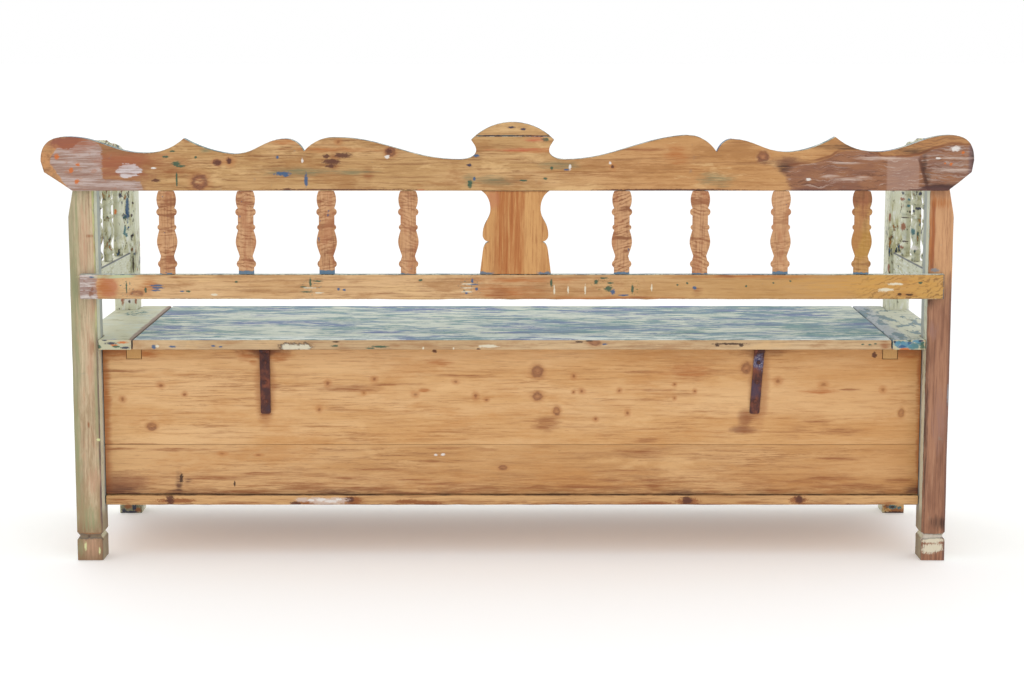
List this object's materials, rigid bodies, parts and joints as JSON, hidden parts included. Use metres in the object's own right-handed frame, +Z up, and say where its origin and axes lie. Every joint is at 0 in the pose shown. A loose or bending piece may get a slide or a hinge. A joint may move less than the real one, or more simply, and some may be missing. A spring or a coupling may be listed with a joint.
{
  "type": "pull-out bench bed",
  "caption": "Pine box settle with a scalloped spindled back and arms, a hinged seat lid and a front bed box that slides out on folding legs.",
  "frame": {"origin": "on the floor under the middle of the bench", "axes": "+X along the bench, -Y towards the front, +Z up"},
  "size_m": [1.882, 0.567, 0.9088],
  "materials": {
    "stripped_pine": "stripped, dry, with knots and specks of old paint",
    "painted_pine": "worn cream paint over blue over wood",
    "inner_pine": "unpainted, darkened",
    "iron": "forged, rusted"
  },
  "bodies": {
    "frame": {"arm_crest_left": "painted_pine", "arm_crest_right": "painted_pine", "arm_lower_rail_left": "painted_pine", "arm_lower_rail_right": "painted_pine", "arm_spindle_left_1": "painted_pine", "arm_spindle_left_2": "painted_pine", "arm_spindle_left_3": "painted_pine", "arm_spindle_right_1": "painted_pine", "arm_spindle_right_2": "painted_pine", "arm_spindle_right_3": "painted_pine", "back_board_lower": "stripped_pine", "back_board_upper": "stripped_pine", "back_spindle_1": "stripped_pine", "back_spindle_2": "stripped_pine", "back_spindle_3": "stripped_pine", "back_spindle_4": "stripped_pine", "back_spindle_5": "stripped_pine", "back_spindle_6": "stripped_pine", "back_spindle_7": "stripped_pine", "back_spindle_8": "stripped_pine", "back_splat": "stripped_pine", "crest_rail": "stripped_pine", "end_board_left": "painted_pine", "end_board_right": "painted_pine", "floor_board_front": "inner_pine", "floor_board_rear": "inner_pine", "front_post_left": "painted_pine", "front_post_right": "painted_pine", "front_sill": "inner_pine", "hinge_nails": "iron", "hinge_pins": "iron", "hinge_strap_left": "iron", "hinge_strap_right": "iron", "lower_back_rail": "stripped_pine", "rear_post_left": "stripped_pine", "rear_post_right": "stripped_pine", "seat_bearer_left": "inner_pine", "seat_bearer_right": "inner_pine", "seat_side_board_left": "painted_pine", "seat_side_board_right": "painted_pine"},
    "lid": {"lid_board_rear": "painted_pine", "lid_board_middle": "painted_pine", "lid_board_front": "painted_pine", "lid_battens": "inner_pine", "hinge_leaf_left": "iron", "hinge_leaf_right": "iron"},
    "drawer": {"drawer_back": "inner_pine", "drawer_bottom_rail": "painted_pine", "drawer_front_board": "painted_pine", "drawer_muntins": "painted_pine", "drawer_side_left": "inner_pine", "drawer_side_right": "inner_pine", "drawer_slats": "inner_pine", "drawer_stile_left": "painted_pine", "drawer_stile_right": "painted_pine", "drawer_stops": "inner_pine", "drawer_top_rail": "painted_pine", "leg_bolts": "iron"},
    "leg_left": {"folding_leg_left": "inner_pine"},
    "leg_right": {"folding_leg_right": "inner_pine"}
  },
  "joints": [
    {"name": "lid_hinge", "type": "hinge", "parent": "frame", "child": "lid", "pos_m": [0, 0.222, 0.4365], "axis": [-1, 0, 0], "range_deg": [0, 90.4]},
    {"name": "drawer_slide", "type": "slide", "parent": "frame", "child": "drawer", "axis": [0, -1, 0], "range_m": [0, 0.3575]},
    {"name": "leg_left_fold", "type": "hinge", "parent": "drawer", "child": "leg_left", "pos_m": [-0.64, -0.226, 0.14], "axis": [0, 1, 0], "range_deg": [0, 90]},
    {"name": "leg_right_fold", "type": "hinge", "parent": "drawer", "child": "leg_right", "pos_m": [0.64, -0.226, 0.14], "axis": [0, -1, 0], "range_deg": [0, 90]}
  ]
}
